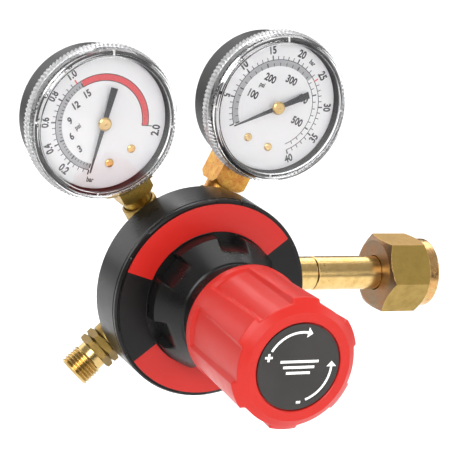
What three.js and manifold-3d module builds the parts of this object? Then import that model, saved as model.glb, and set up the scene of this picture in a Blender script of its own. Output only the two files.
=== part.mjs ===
// Single-stage fuel gas pressure regulator with two gauges, an inlet nut and a hose outlet.
// Millimetres, +Z up. The inlet axis is +X, the knob axis is Y and the knob faces -Y.
// The origin is the mouth of the inlet nut, on the inlet axis.
import * as THREE from "three";
import { mergeVertices } from "three/addons/utils/BufferGeometryUtils.js";
import Module from "manifold-3d";

const wasm = await Module();
wasm.setup();

// Driving dimensions. Y positions are counted from the front of the label ring.
const GAP = 0.3; // between pieces that touch on the real object
const FINE = 32; // segments round the large turned pieces
const COARSE = 12; // segments round the small ones

const RIM_RADIUS = 45; // bonnet
const SKIRT_END_Y = 22.8;
const LABEL_INNER = 30.8;
const LABEL_OUTER = 43.2;
const LABEL_THICK = 0.4;
const FACE_Y = LABEL_THICK + 0.2; // flat that the label is stuck to
const LEDGE_Y = 11.5; // clamps the slip ring and the diaphragm
const DOME_RADIUS = 30.2; // foot of the dome, inside the label ring
const DOME_EDGE_Y = -7.6; // where its straight side turns into the cone
const NECK_RADIUS = 22.5;
const NECK_FRONT_Y = -38;
const POCKETS = 6; // wrench pockets in the dome's side
const POCKET_FLOOR = 26.4; // from the knob axis
const POCKET_ANGLE = 86.3; // of the first pocket, degrees from +X towards +Z

const SCREW_RADIUS = 7; // adjusting screw
const SCREW_END_Y = -21.8;
const SPRING_SEAT_Y = -18; // rear face of the spring button
const SPRING_MEAN_R = 13;
const SPRING_WIRE = 3.2;

const KNOB_BACK_Y = -31;
const KNOB_SHELF_Y = -79.4; // where the flutes end
const KNOB_FRONT_Y = -83;
const KNOB_RADIUS = 28;
const KNOB_FLATS = 6; // recessed grip panels, one between each two lobes
const KNOB_FLAT = 26.1; // from the axis to a flat of the front rim
const KNOB_FLOOR = 23.3; // and to the floor of a panel
const KNOB_SLEEVE_R = 19.8; // neck inside the knob
const INSERT_RADIUS = 18.6;

const DIAPHRAGM_Y = LEDGE_Y + 1.4;
const FLANGE_Y = DIAPHRAGM_Y + 1.1; // front rim of the body
const FLANGE_RADIUS = 41.9;
const CHAMBER_FLOOR_Y = FLANGE_Y + 4.5;
const BODY_BACK_Y = 50;

const INLET_Y = 34.5; // port planes
const OUTLET_Y = 36.5;
const GAUGE_PORT_Y = 38.4;
const OUTLET_ANGLE = -134.4; // port directions, degrees from +X towards +Z
const LOW_GAUGE_ANGLE = 124.8;
const HIGH_GAUGE_ANGLE = 68.2;

const STUB_END = 67; // distances out along a port's own axis
const NUT_REAR = 100.8;
const NUT_HEX_END = 122.6;
const NUT_MOUTH = 128;
const NUT_ACROSS_FLATS = 32.7;
const NUT_THREAD_R = 10.5;
const STEM_RADIUS = 7.9;
const GAUGE_BOSS_END = 40.3;
const GAUGE_SHOULDER = 44.3; // foot of the gauge stem's square
const OUTLET_BOSS_END = 42.3;
const OUTLET_TIP = 63.8;
const OUTLET_THREAD_R = 7.14;
const OUTLET_ACROSS_FLATS = 15.9;

const GAUGE_DISTANCE = 86.7; // knob axis to gauge centre
const GAUGE_RIM_Y = 23.5; // front edge of the gauge case
const CASE_RADIUS = 31;
const CASE_DEPTH = 25;
const LENS_RADIUS = 34.2;
const LENS_FRONT = -3.6; // gauge depths are counted from the case's front edge
const LENS_SKIRT_END = 6.8;
const DIAL_DEPTH = 3.5;
const DIAL_RADIUS = 29.2;
const SOCKET_WIDTH = 15.7;
const POINTER_ZERO = -135; // degrees from the top of the dial, clockwise positive
const PINION_TEETH = 12;
const SECTOR_TEETH = 96; // teeth of the full circle that the sector is cut from
const GEAR_MODULE = 0.25;
const GEAR_DEPTH = 11;
const GEAR_THICK = 1.6;

const material = (color, roughness, metalness) =>
  new THREE.MeshStandardMaterial({ color, roughness, metalness });
const brass = () => material(0xb8913f, 0.32, 1);
const steel = () => material(0x9a9ca0, 0.35, 1);
const blackPaint = () => material(0x17171a, 0.4, 0);
const redPlastic = () => material(0xd8211f, 0.3, 0);

const radians = THREE.MathUtils.degToRad;

// ---- geometry helpers ----

// The geometry with merged vertices and its faces turned outwards.
function closed(geometry) {
  const bare = geometry.clone();
  bare.deleteAttribute("normal");
  bare.deleteAttribute("uv");
  const merged = mergeVertices(bare, 1e-3);
  const index = merged.index.array;
  const kept = [];
  for (let i = 0; i < index.length; i += 3) {
    const [a, b, c] = [index[i], index[i + 1], index[i + 2]];
    if (a !== b && b !== c && c !== a) kept.push(a, b, c);
  }
  merged.setIndex(kept);
  if (signedVolume(merged) < 0) merged.setIndex(kept.reverse());
  return merged;
}

function signedVolume(geometry) {
  const at = geometry.attributes.position;
  const index = geometry.index.array;
  const [a, b, c] = [new THREE.Vector3(), new THREE.Vector3(), new THREE.Vector3()];
  let total = 0;
  for (let i = 0; i < index.length; i += 3) {
    a.fromBufferAttribute(at, index[i]);
    b.fromBufferAttribute(at, index[i + 1]);
    c.fromBufferAttribute(at, index[i + 2]);
    total += a.dot(b.cross(c)) / 6;
  }
  return total;
}

function solid(geometry) {
  const { attributes, index } = closed(geometry);
  return new wasm.Manifold(
    new wasm.Mesh({
      numProp: 3,
      vertProperties: new Float32Array(attributes.position.array),
      triVerts: new Uint32Array(index.array),
    }),
  );
}

function geometryOf(manifold) {
  const { vertProperties, triVerts } = manifold.getMesh();
  return new THREE.BufferGeometry()
    .setAttribute("position", new THREE.BufferAttribute(vertProperties, 3))
    .setIndex(new THREE.BufferAttribute(triVerts, 1));
}

const join = (first, ...rest) => geometryOf(rest.reduce((s, g) => s.add(solid(g)), solid(first)));
const cut = (first, ...rest) =>
  geometryOf(rest.reduce((s, g) => s.subtract(solid(g)), solid(first)));
const common = (a, b) => geometryOf(solid(a).intersect(solid(b)));

// A turned piece about Y from [radius, y] points. A profile that leaves the axis closes on itself.
function turned(points, segments = COARSE) {
  const profile = points.map(([r, y]) => new THREE.Vector2(r, y));
  const onAxis = points[0][0] === 0 && points.at(-1)[0] === 0;
  if (!onAxis) profile.push(profile[0].clone());
  return closed(new THREE.LatheGeometry(profile, segments));
}

// The same about X, from [x, radius] points.
function turnedX(points, segments = COARSE) {
  return turned(points.map(([x, r]) => [r, x]), segments).rotateZ(-Math.PI / 2);
}

function box(x0, x1, y0, y1, z0, z1) {
  const shape = new THREE.BoxGeometry(x1 - x0, y1 - y0, z1 - z0);
  return shape.translate((x0 + x1) / 2, (y0 + y1) / 2, (z0 + z1) / 2);
}

// A hexagonal bar along X with a flat on top.
function hexBar(acrossFlats, x0, x1) {
  const radius = acrossFlats / Math.sqrt(3);
  const bar = new THREE.CylinderGeometry(radius, radius, x1 - x0, 6);
  return bar.rotateZ(-Math.PI / 2).rotateX(Math.PI / 2).translate((x0 + x1) / 2, 0, 0);
}

// A flat plate in the XZ plane between two depths, from [x, z] points and round holes [x, z, r].
function plate(points, y0, y1, holes = []) {
  const outline = points.map(([x, z]) => new THREE.Vector2(x, z));
  if (THREE.ShapeUtils.isClockWise(outline)) outline.reverse();
  const shape = new THREE.Shape(outline);
  for (const [x, z, r] of holes) {
    shape.holes.push(new THREE.Path().absarc(x, z, r, 0, 2 * Math.PI, true));
  }
  const slab = new THREE.ExtrudeGeometry(shape, {
    depth: y1 - y0,
    bevelEnabled: false,
    curveSegments: 8,
  });
  return slab.rotateX(Math.PI / 2).translate(0, y1, 0);
}

function circlePoints(radius, count, x = 0, z = 0) {
  return Array.from({ length: count }, (_, i) => {
    const a = (2 * Math.PI * i) / count;
    return [x + radius * Math.cos(a), z + radius * Math.sin(a)];
  });
}

// A round wire wound about Y, as a closed helical tube with closed end coils.
function coilSpring(meanRadius, wire, y0, y1, turns, sides, stepsPerTurn) {
  class Helix extends THREE.Curve {
    getPoint(t, target = new THREE.Vector3()) {
      const a = 2 * Math.PI * turns * t;
      const y = THREE.MathUtils.lerp(y0 + wire / 2, y1 - wire / 2, t);
      return target.set(meanRadius * Math.cos(a), y, meanRadius * Math.sin(a));
    }
  }
  const ring = circlePoints(wire / 2, sides).map(([x, y]) => new THREE.Vector2(x, y));
  return new THREE.ExtrudeGeometry(new THREE.Shape(ring), {
    steps: Math.round(turns * stepsPerTurn),
    extrudePath: new Helix(),
  });
}

// ---- scene graph helpers ----

const part = new THREE.Group();
const regulator = new THREE.Group(); // its origin is on the knob axis, at the label's front
regulator.position.set(-NUT_MOUTH, -INLET_Y, 0);
part.add(regulator);

function add(parent, name, geometry, look) {
  const mesh = new THREE.Mesh(geometry, look);
  mesh.name = name;
  parent.add(mesh);
  return mesh;
}

// A group whose +X runs out along a port, from the knob axis.
function port(angle, y) {
  const group = new THREE.Group();
  group.position.y = y;
  group.rotation.y = -radians(angle);
  regulator.add(group);
  return group;
}

// Turns a geometry made along +X to the direction of a port.
const towards = (geometry, angle, y) =>
  geometry.rotateY(-radians(angle)).translate(0, y, 0);

// ---- bonnet, label, knob and adjusting screw ----

function bonnetGeometry() {
  const shell = turned(
    [
      [SCREW_RADIUS + GAP, NECK_FRONT_Y],
      [KNOB_SLEEVE_R - 1, NECK_FRONT_Y],
      [KNOB_SLEEVE_R, NECK_FRONT_Y + 1],
      [KNOB_SLEEVE_R, -27],
      [NECK_RADIUS, -26],
      [NECK_RADIUS, -20.4],
      [NECK_RADIUS + 0.7, -19.6],
      [DOME_RADIUS - 0.9, DOME_EDGE_Y - 0.4],
      [DOME_RADIUS - 0.4, DOME_EDGE_Y + 0.6],
      [DOME_RADIUS, FACE_Y],
      [RIM_RADIUS - 0.9, FACE_Y],
      [RIM_RADIUS, FACE_Y + 0.9],
      [RIM_RADIUS, SKIRT_END_Y - 0.8],
      [RIM_RADIUS - 0.8, SKIRT_END_Y],
      [FLANGE_RADIUS + GAP, SKIRT_END_Y],
      [FLANGE_RADIUS + GAP, LEDGE_Y],
      [35, LEDGE_Y],
      [33, 5],
      [17.5, 5],
      [17.5, -24],
      [SCREW_RADIUS + GAP, -24],
    ],
    FINE,
  );
  // Each pocket widens towards the knob: an outline of [distance from the label face, z].
  const outline = [[0, -5.7], [0, 5.7], [19, 7.3], [19, -7.3]];
  const pockets = [];
  for (let i = 0; i < POCKETS; i++) {
    const pocket = plate(outline, POCKET_FLOOR, 32).rotateZ(-Math.PI / 2);
    pockets.push(pocket.rotateY(-radians(POCKET_ANGLE + (360 / POCKETS) * i)));
  }
  return cut(shell, ...pockets);
}

function labelGeometry() {
  return turned(
    [
      [LABEL_INNER, 0],
      [LABEL_OUTER, 0],
      [LABEL_OUTER, LABEL_THICK],
      [LABEL_INNER, LABEL_THICK],
    ],
    FINE,
  );
}

function knobGeometry() {
  const shell = turned(
    [
      [SCREW_RADIUS + GAP, -50],
      [10.5, -50],
      [10.5, -74],
      [KNOB_SLEEVE_R + 0.8, -74],
      [KNOB_SLEEVE_R + 0.8, KNOB_BACK_Y - 5.5],
      [NECK_RADIUS + 0.8, KNOB_BACK_Y - 4.5],
      [NECK_RADIUS + 0.8, KNOB_BACK_Y],
      [25, KNOB_BACK_Y],
      [25.8, KNOB_BACK_Y - 0.8],
      [KNOB_RADIUS, KNOB_SHELF_Y + 1.4],
      [KNOB_RADIUS - 1.2, KNOB_SHELF_Y],
      [23.4, KNOB_SHELF_Y - 0.8],
      [22.8, KNOB_FRONT_Y],
      [INSERT_RADIUS + GAP, KNOB_FRONT_Y],
      [INSERT_RADIUS + GAP, KNOB_FRONT_Y + 1.8],
      [5.5, KNOB_FRONT_Y + 1.8],
      [5.5, -78.5],
      [3, -78.5],
      [3, -72],
      [SCREW_RADIUS + GAP, -72],
    ],
    FINE,
  );
  // Outlines of [distance in front of the label, z]: the panel widens towards the knob's front.
  const panel = [[36.2, -6], [36.2, 6], [75, 8.2], [75, -8.2]];
  const flat = [[30, -8.8], [30, 8.8], [84, 8.8], [84, -8.8]];
  const cuts = [];
  for (let i = 0; i < KNOB_FLATS; i++) {
    const angle = -radians(POCKET_ANGLE + (360 / KNOB_FLATS) * (i + 0.5));
    cuts.push(plate(flat, KNOB_FLAT, 30).rotateZ(-Math.PI / 2).rotateY(angle));
    cuts.push(plate(panel, KNOB_FLOOR, 30).rotateZ(-Math.PI / 2).rotateY(angle));
  }
  return cut(shell, ...cuts);
}

const disc = (radius, y0, y1, segments = COARSE) =>
  turned([[0, y0], [radius, y0], [radius, y1], [0, y1]], segments);

const screwGeometry = () =>
  turned([
    [0, SCREW_END_Y],
    [SCREW_RADIUS - 1.5, SCREW_END_Y],
    [SCREW_RADIUS, SCREW_END_Y - 1.5],
    [SCREW_RADIUS, -71.7],
    [2.4, -71.7],
    [2.4, -62],
    [0, -62],
  ]);

const knobScrewGeometry = () =>
  turned([
    [0, -80.7],
    [4, -80.7],
    [4.8, -79.9],
    [4.8, -78.8],
    [2.1, -78.8],
    [2.1, -63],
    [0, -63],
  ]);

const springButtonGeometry = () =>
  turned([
    [0, SCREW_END_Y + GAP],
    [11, SCREW_END_Y + GAP],
    [15.5, SPRING_SEAT_Y - 1.6],
    [15.5, SPRING_SEAT_Y],
    [SPRING_MEAN_R - SPRING_WIRE / 2 - GAP, SPRING_SEAT_Y],
    [SPRING_MEAN_R - SPRING_WIRE / 2 - 1, SPRING_SEAT_Y + 2.5],
    [0, SPRING_SEAT_Y + 2.5],
  ]);

function addKnobSide() {
  add(regulator, "bonnet", bonnetGeometry(), blackPaint());
  add(regulator, "front_label", labelGeometry(), material(0xd9241f, 0.45, 0));
  add(regulator, "knob", knobGeometry(), redPlastic());
  const insert = disc(INSERT_RADIUS, KNOB_FRONT_Y + 0.3, KNOB_FRONT_Y + 1.5, FINE);
  add(regulator, "knob_insert", insert, material(0x2b2b2c, 0.5, 0));
  add(regulator, "knob_screw", knobScrewGeometry(), steel());
  add(regulator, "adjusting_screw", screwGeometry(), brass());
  add(regulator, "spring_button", springButtonGeometry(), steel());
}

// ---- spring, diaphragm and valve ----

const PLATE_FRONT_Y = LEDGE_Y - 1.1; // face that the adjusting spring presses on
const NOZZLE_END_Y = 30;
const SEAT_Y = 22.2; // nozzle lip that the poppet closes on
const BORE_RADIUS = 7; // centre bore of the body
const BORE_END_Y = 43;

const diaphragmPlateGeometry = () =>
  turned(
    [
      [0, PLATE_FRONT_Y - 2],
      [SPRING_MEAN_R - SPRING_WIRE / 2 - 1, PLATE_FRONT_Y - 2],
      [SPRING_MEAN_R - SPRING_WIRE / 2 - GAP, PLATE_FRONT_Y],
      [22, PLATE_FRONT_Y],
      [23, PLATE_FRONT_Y + 0.8],
      [23, DIAPHRAGM_Y - GAP],
      [2.8, DIAPHRAGM_Y - GAP],
      [2.8, DIAPHRAGM_Y + 1.6],
      [0, DIAPHRAGM_Y + 1.6],
    ],
    FINE / 2,
  );

const ring = (inner, outer, y0, y1, segments = COARSE) =>
  turned([[inner, y0], [outer, y0], [outer, y1], [inner, y1]], segments);

const nozzleGeometry = () =>
  turned([
    [1.4, CHAMBER_FLOOR_Y - 1.9],
    [7.5, CHAMBER_FLOOR_Y - 1.9],
    [8.2, CHAMBER_FLOOR_Y - 1.2],
    [8.2, CHAMBER_FLOOR_Y - GAP],
    [BORE_RADIUS - GAP, CHAMBER_FLOOR_Y - GAP],
    [BORE_RADIUS - GAP, NOZZLE_END_Y],
    [4.6, NOZZLE_END_Y],
    [4.6, SEAT_Y - 0.6],
    [2.4, SEAT_Y - 0.6],
    [2.4, SEAT_Y],
    [1.4, SEAT_Y],
  ]);

const poppetGeometry = () =>
  turned([
    [0, DIAPHRAGM_Y + 1.9],
    [0.8, DIAPHRAGM_Y + 1.9],
    [0.8, SEAT_Y + 1.8],
    [3.9, SEAT_Y + 1.8],
    [3.9, SEAT_Y + 5],
    [1.6, SEAT_Y + 5],
    [1.6, SEAT_Y + 8],
    [0, SEAT_Y + 8],
  ]);

function addValve() {
  const [springFront, springRear] = [SPRING_SEAT_Y + GAP, PLATE_FRONT_Y - GAP];
  const spring = coilSpring(SPRING_MEAN_R, SPRING_WIRE, springFront, springRear, 5.5, 6, 12);
  add(regulator, "adjusting_spring", spring, steel());
  add(regulator, "slip_ring", ring(33.5, 41.4, LEDGE_Y + GAP, DIAPHRAGM_Y - GAP, FINE), steel());
  const diaphragm = ring(3.2, 41.4, DIAPHRAGM_Y, FLANGE_Y - GAP, FINE);
  add(regulator, "diaphragm", diaphragm, material(0x24221f, 0.8, 0));
  add(regulator, "diaphragm_plate", diaphragmPlateGeometry(), steel());
  add(regulator, "seat_nozzle", nozzleGeometry(), brass());
  add(regulator, "valve_poppet", poppetGeometry(), brass());
  const seat = ring(1.1, 3.6, SEAT_Y + 0.2, SEAT_Y + 1.5);
  add(regulator, "poppet_seat", seat, material(0x1c1c1c, 0.7, 0));
  const poppetSpring = coilSpring(2.6, 0.6, SEAT_Y + 5.3, BORE_END_Y - 0.2, 6, 4, 8);
  add(regulator, "poppet_spring", poppetSpring, steel());
}

// ---- body ----

const PASSAGE_R = 2.2;
const FEED_DISTANCE = 17; // drillings from the low-pressure chamber to its two ports

function bodyGeometry() {
  const forging = turned(
    [
      [0, BODY_BACK_Y],
      [21, BODY_BACK_Y],
      [25, BODY_BACK_Y - 2],
      [27, BODY_BACK_Y - 6],
      [27, 29],
      [38, 25.5],
      [40.5, 23.6],
      [FLANGE_RADIUS, SKIRT_END_Y - 0.2],
      [FLANGE_RADIUS, FLANGE_Y],
      [33, FLANGE_Y],
      [33, CHAMBER_FLOOR_Y],
      [BORE_RADIUS, CHAMBER_FLOOR_Y],
      [BORE_RADIUS, NOZZLE_END_Y + 1],
      [5, NOZZLE_END_Y + 1],
      [5, BORE_END_Y],
      [0, BORE_END_Y],
    ],
    FINE,
  );
  const inletBoss = turnedX([[20, 0], [20, 11], [50, 11], [55, 7.7], [STUB_END, 7.7], [STUB_END, 0]]);
  // A round boss with a chamfered end face.
  const boss = (end, radius) =>
    turnedX([[20, 0], [20, radius], [end - 0.8, radius], [end, radius - 0.8], [end, 0]]);
  const gaugeBoss = () => boss(GAUGE_BOSS_END, 9.2);
  const joined = join(
    forging,
    towards(inletBoss, 0, INLET_Y),
    towards(boss(OUTLET_BOSS_END, 8.4), OUTLET_ANGLE, OUTLET_Y),
    towards(gaugeBoss(), LOW_GAUGE_ANGLE, GAUGE_PORT_Y),
    towards(gaugeBoss(), HIGH_GAUGE_ANGLE, GAUGE_PORT_Y),
  );
  // A stepped hole along a port: a threaded mouth, then a passage.
  const bore = (inner, step, end, mouthR) =>
    turnedX([
      [inner, 0],
      [inner, PASSAGE_R],
      [step, PASSAGE_R],
      [step, mouthR],
      [end + 1, mouthR],
      [end + 1, 0],
    ]);
  const feed = (angle, y) =>
    towards(disc(PASSAGE_R, CHAMBER_FLOOR_Y - 1 - y, 0).translate(FEED_DISTANCE, 0, 0), angle, y);
  return cut(
    joined,
    towards(bore(3, 49, STUB_END, 5.8), 0, INLET_Y),
    towards(bore(3, 29, GAUGE_BOSS_END, 7), HIGH_GAUGE_ANGLE, GAUGE_PORT_Y),
    towards(bore(FEED_DISTANCE - 1, 29, GAUGE_BOSS_END, 7), LOW_GAUGE_ANGLE, GAUGE_PORT_Y),
    towards(bore(FEED_DISTANCE - 1, 30, OUTLET_BOSS_END, 5.3), OUTLET_ANGLE, OUTLET_Y),
    feed(LOW_GAUGE_ANGLE, GAUGE_PORT_Y),
    feed(OUTLET_ANGLE, OUTLET_Y),
  );
}

// ---- inlet and outlet ----

const nippleGeometry = () =>
  turnedX([
    [50, 2.2],
    [50, 5.5],
    [STUB_END + GAP, 5.5],
    [STUB_END + GAP, 7.6],
    [STUB_END + 0.6, STEM_RADIUS],
    [109, STEM_RADIUS],
    [109, 9.9],
    [113, 9.9],
    [115, 8.6],
    [119.5, 8.6],
    [122.5, 7.4],
    [124, 5.6],
    [124, 4.8],
    [112, 4.8],
    [112, 2.2],
  ]);

function nutGeometry() {
  const reach = NUT_ACROSS_FLATS / Math.sqrt(3) + 0.3;
  const chamfer = (reach - 15.2) * Math.tan(radians(30));
  const blank = turnedX(
    [
      [NUT_REAR, 9.6],
      [NUT_REAR, 15.2],
      [NUT_REAR + chamfer, reach],
      [NUT_HEX_END - chamfer, reach],
      [NUT_HEX_END, 16],
      [NUT_MOUTH - 0.8, 16],
      [NUT_MOUTH, 15.2],
      [NUT_MOUTH, NUT_THREAD_R + 0.7],
      [NUT_MOUTH - 0.7, NUT_THREAD_R],
      [108.7, NUT_THREAD_R],
      [108.7, STEM_RADIUS + 0.8],
      [NUT_REAR + 0.8, STEM_RADIUS + 0.8],
    ],
    FINE,
  );
  const [start, end] = [NUT_REAR - 1, NUT_MOUTH + 1];
  const collar = turnedX([[start, 0], [start, 16], [end, 16], [end, 0]], FINE);
  const hex = hexBar(NUT_ACROSS_FLATS, start, NUT_HEX_END);
  return common(blank, join(hex, collar));
}

function outletGeometry() {
  const [hex0, hex1] = [OUTLET_BOSS_END + GAP, 51.6];
  const corner = OUTLET_ACROSS_FLATS / Math.sqrt(3);
  const middle = (hex0 + hex1) / 2;
  const blank = turnedX([
    [30.5, 2.2],
    [30.5, 5],
    [hex0, 5],
    [hex0, 8],
    [hex0 + 0.8, corner],
    [middle - 1, corner],
    [middle, corner - 1.2],
    [middle + 1, corner],
    [hex1 - 0.8, corner],
    [hex1, 8],
    [hex1, 6.5],
    [55.9, 6.5],
    [55.9, OUTLET_THREAD_R],
    [OUTLET_TIP - 0.8, OUTLET_THREAD_R],
    [OUTLET_TIP, 6.4],
    [OUTLET_TIP, 4.4],
    [OUTLET_TIP - 4, 2.2],
  ]);
  const round = turnedX([[30, 0], [30, 7.6], [65, 7.6], [65, 0]]);
  return common(blank, join(hexBar(OUTLET_ACROSS_FLATS, hex0, hex1), round));
}

function addConnections() {
  const inlet = port(0, INLET_Y);
  add(inlet, "inlet_nipple", nippleGeometry(), brass());
  add(inlet, "inlet_nut", nutGeometry(), brass());
  const filter = turnedX([[112.3, 0], [112.3, 4.5], [123, 4.5], [123, 0]]);
  add(inlet, "inlet_filter", filter, material(0xa07c4a, 0.7, 0.6));
  add(port(OUTLET_ANGLE, OUTLET_Y), "outlet_fitting", outletGeometry(), brass());
}

// ---- gauges: local +Z is the top of the dial, local Y is the depth from the case's front edge ----

const SOCKET_DEPTH = GAUGE_PORT_Y - GAUGE_RIM_Y; // of the stem's axis
const TUBE_RADIUS = 20;
const SECTOR_PIVOT = [-11, -7.83]; // 13.5 from the pinion
const TUBE_DEPTH = 14.5;

function caseGeometry() {
  const cup = turned(
    [
      [0, CASE_DEPTH],
      [CASE_RADIUS - 3, CASE_DEPTH],
      [CASE_RADIUS - 0.9, CASE_DEPTH - 0.9],
      [CASE_RADIUS, CASE_DEPTH - 3],
      [CASE_RADIUS, 0],
      [CASE_RADIUS - 1.2, 0],
      [CASE_RADIUS - 1.2, CASE_DEPTH - 3.4],
      [CASE_RADIUS - 3.4, CASE_DEPTH - 1.2],
      [0, CASE_DEPTH - 1.2],
    ],
    FINE,
  );
  const slot = box(-4.8, 4.8, SOCKET_DEPTH - 4.8, SOCKET_DEPTH + 4.8, -CASE_RADIUS - 2, -20);
  return cut(cup, slot);
}

const lensGeometry = () =>
  turned(
    [
      [0, LENS_FRONT],
      [LENS_RADIUS - 4.4, LENS_FRONT],
      [LENS_RADIUS - 2.6, LENS_FRONT + 0.8],
      [LENS_RADIUS - 1.2, LENS_FRONT + 2.8],
      [LENS_RADIUS - 0.9, 2.2],
      [LENS_RADIUS, 2.6],
      [LENS_RADIUS, LENS_SKIRT_END - 0.4],
      [LENS_RADIUS - 0.4, LENS_SKIRT_END],
      [CASE_RADIUS + GAP, LENS_SKIRT_END],
      [CASE_RADIUS + GAP, -GAP],
      [CASE_RADIUS - 1.4, -GAP],
      [CASE_RADIUS - 1.4, LENS_FRONT + 1.7],
      [0, LENS_FRONT + 1.7],
    ],
    FINE,
  );

const DIAL_SCREWS = { left: [-5.7, -17.5], right: [5.7, -17.5] };

const dialGeometry = () =>
  plate(circlePoints(DIAL_RADIUS, FINE), DIAL_DEPTH, DIAL_DEPTH + 0.6, [
    [0, 0, 1.6],
    ...Object.values(DIAL_SCREWS).map(([x, z]) => [x, z, 1.3]),
  ]);

function dialScrewGeometry([x, z]) {
  const screw = turned([
    [0, DIAL_DEPTH - 1.1],
    [1.3, DIAL_DEPTH - 1.1],
    [1.85, DIAL_DEPTH - 0.6],
    [1.85, DIAL_DEPTH - 0.2],
    [0.9, DIAL_DEPTH - 0.2],
    [0.9, DIAL_DEPTH + 3.6],
    [0, DIAL_DEPTH + 3.6],
  ], 16);
  return screw.translate(x, 0, z);
}

// Pointer blade at its zero: a thin tapered tip and a wide square tail.
function pointerGeometry() {
  const outline = [
    [-0.35, 22.2],
    [0.35, 22.2],
    [0.9, 3.4],
    [1.1, -3.4],
    [1.65, -16],
    [-1.65, -16],
    [-1.1, -3.4],
    [-0.9, 3.4],
  ];
  return plate(outline, 1.1, 1.5, [[0, 0, 0.85]]).rotateY(radians(POINTER_ZERO));
}

const pointerHubGeometry = () =>
  turned([
    [0, -0.3],
    [2.4, -0.3],
    [3, 0.2],
    [3, 0.9],
    [0.75, 0.9],
    [0.75, 2],
    [0.55, 2],
    [0.55, 0.6],
    [0, 0.6],
  ]);

function socketGeometry() {
  const half = SOCKET_WIDTH / 2;
  const shoulder = GAUGE_DISTANCE - GAUGE_SHOULDER; // from the gauge's centre, down the stem
  const stem = (points, segments) =>
    turnedX(points, segments).rotateY(Math.PI / 2).translate(0, SOCKET_DEPTH, 0);
  const block = box(-half, half, SOCKET_DEPTH - half, SOCKET_DEPTH + half, -shoulder, -26);
  const chamfer = stem([[10, 0], [10, 14], [shoulder - 3, 11.8], [shoulder, 8.8], [shoulder, 0]]);
  const seat = disc(CASE_RADIUS + GAP, -2, CASE_DEPTH + 2, FINE);
  const neck = box(-4.5, 4.5, SOCKET_DEPTH - 4.5, SOCKET_DEPTH + 4.5, -33, -17);
  const tail = stem([[shoulder - 1, 0], [shoulder - 1, 6.7], [shoulder + 14, 6.2], [shoulder + 14, 0]]);
  const passage = stem([[18.5, 0], [18.5, 1.5], [60, 1.5], [60, 0]], 12);
  return cut(join(common(cut(block, seat), chamfer), neck, tail), passage);
}

// The flat oval tube that uncurls under pressure, from the socket round to its free tip.
function bourdonGeometry() {
  class Arc extends THREE.Curve {
    getPoint(t, target = new THREE.Vector3()) {
      const a = radians(THREE.MathUtils.lerp(-75.5, 160, t));
      return target.set(TUBE_RADIUS * Math.cos(a), 0, TUBE_RADIUS * Math.sin(a));
    }
  }
  const section = circlePoints(1, 8).map(([x, y]) => new THREE.Vector2(3.2 * x, 1.1 * y));
  const tube = new THREE.ExtrudeGeometry(new THREE.Shape(section), {
    steps: 20,
    extrudePath: new Arc(),
  });
  return tube.translate(0, TUBE_DEPTH, 0);
}

const linkGeometry = () =>
  plate([[-20.6, 6], [-18.6, 6.6], [-17.6, -7.4], [-19.6, -8.2]], 10.2, 10.8);

// Trapezoid teeth round a circle, from a start angle, counted in whole teeth.
function toothPoints(teeth, count, startAngle) {
  const pitchRadius = (GEAR_MODULE * teeth) / 2;
  const step = (2 * Math.PI) / teeth;
  const [root, tip] = [pitchRadius - 1.25 * GEAR_MODULE, pitchRadius + 0.7 * GEAR_MODULE];
  const points = [];
  for (let i = 0; i < count; i++) {
    const a = startAngle + i * step;
    for (const [share, r] of [[-0.3, root], [-0.1, tip], [0.1, tip], [0.3, root]]) {
      points.push([r * Math.cos(a + share * step), r * Math.sin(a + share * step)]);
    }
  }
  return points;
}

function arborGeometry() {
  const shaft = turned([[0, 1.0], [0.45, 1.0], [0.45, 2.3], [0.8, 2.3], [0.8, 17.4], [0, 17.4]], 12);
  const towardsSector = Math.atan2(SECTOR_PIVOT[1], SECTOR_PIVOT[0]);
  const half = Math.PI / PINION_TEETH; // a gap faces the sector's middle tooth
  const teeth = toothPoints(PINION_TEETH, PINION_TEETH, towardsSector + half);
  return join(shaft, plate(teeth, GEAR_DEPTH - 0.4, GEAR_DEPTH + 2));
}

// The toothed sector, drawn about its pivot, with an arm for the link behind the pivot.
// Its middle tooth of the first few faces the pinion at zero, and the rest pass as it swings.
function sectorGeometry() {
  const sweepTeeth = (270 / 360) * PINION_TEETH;
  const spare = 2; // teeth past each end of the sweep
  const step = (2 * Math.PI) / SECTOR_TEETH;
  const facing = Math.atan2(-SECTOR_PIVOT[1], -SECTOR_PIVOT[0]);
  const start = facing - (sweepTeeth + spare) * step;
  const rim = toothPoints(SECTOR_TEETH, sweepTeeth + 2 * spare + 1, start);
  const hubSide = [1.1, 2, 3, 4, 4.6].map((turn) => [
    2 * Math.cos(facing + turn),
    2 * Math.sin(facing + turn),
  ]);
  const [front, back] = [GEAR_DEPTH, GEAR_DEPTH + GEAR_THICK];
  const blade = plate([...rim, ...hubSide], front, back);
  const arm = plate([[-1.5, 1.2], [-9, 1.9], [-9, -0.6], [-1.5, -1.2]], front, back);
  const shaft = disc(0.8, 8.2, 17.2, 8);
  return join(blade, arm, shaft).translate(SECTOR_PIVOT[0], 0, SECTOR_PIVOT[1]);
}

// Movement plates behind the dial, with bearing holes for both shafts. They stand on the socket.
const MOVEMENT_OUTLINE = [
  [-14.5, -11.5],
  [-5, -12.8],
  [-4, -16.7],
  [4, -16.7],
  [5.5, 6.4],
  [-5.5, 6.4],
  [-14.5, -4],
];
const BEARINGS = [
  [0, 0, 1.1],
  [...SECTOR_PIVOT, 1.1],
];

const frontPlateGeometry = () => plate(MOVEMENT_OUTLINE, 8, 8.8, BEARINGS);

function backPlateGeometry() {
  const back = plate(MOVEMENT_OUTLINE, 16, 16.8, BEARINGS);
  const pillar = (x, z) => disc(1.1, 8.9, 16.4, 12).translate(x, 0, z);
  return join(back, pillar(3.6, -11), pillar(-2, 4.6));
}

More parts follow.
